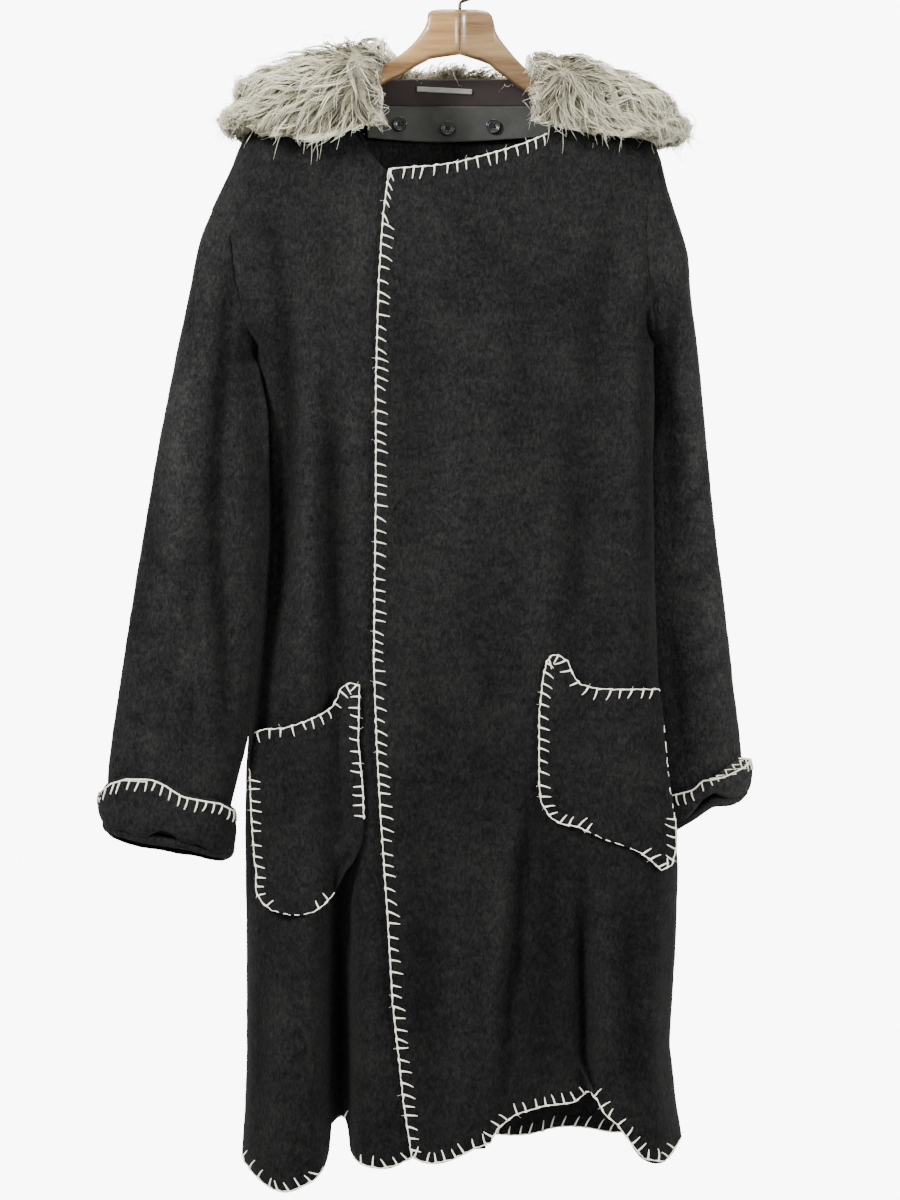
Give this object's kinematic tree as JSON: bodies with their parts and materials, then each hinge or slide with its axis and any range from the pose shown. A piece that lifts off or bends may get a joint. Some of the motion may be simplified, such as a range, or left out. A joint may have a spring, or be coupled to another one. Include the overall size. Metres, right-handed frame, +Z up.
{
  "type": "shaggy coat on a hanger",
  "caption": "Long shaggy coat with a blanket-stitched edge, patch pockets and a fur collar, held by a wooden hanger.",
  "frame": {"origin": "inside top of the hanger's hook, where a rod bears", "axes": "+Z up, the front of the coat faces -Y, +X is the viewer's right"},
  "size_m": [0.696, 0.1778, 1.2927],
  "materials": {
    "wool": "short shaggy nap, near black, matt",
    "fur": "long grey-beige hair with cream tips",
    "band": "smooth dark grey woven cloth",
    "lining": "smooth dark maroon cloth with a slight sheen",
    "label": "woven tape, bare",
    "button": "dark glossy plastic",
    "wood": "warm brown varnished wood",
    "metal": "dark bronzed wire"
  },
  "bodies": {
    "root": {"front_under": "wool", "front_over": "wool", "back_left": "wool", "back_right": "wool", "sleeve_left": "wool", "sleeve_right": "wool", "cuff_left": "wool", "cuff_right": "wool", "pocket_left": "wool", "pocket_right": "wool", "fur_left": "fur", "fur_right": "fur", "fur_back": "fur", "neck_band": "band", "collar_lining": "lining", "label": "label", "button_1": "button", "button_2": "button", "button_3": "button", "hanger_left": "wood", "hanger_right": "wood", "hook": "metal"}
  },
  "joints": []
}
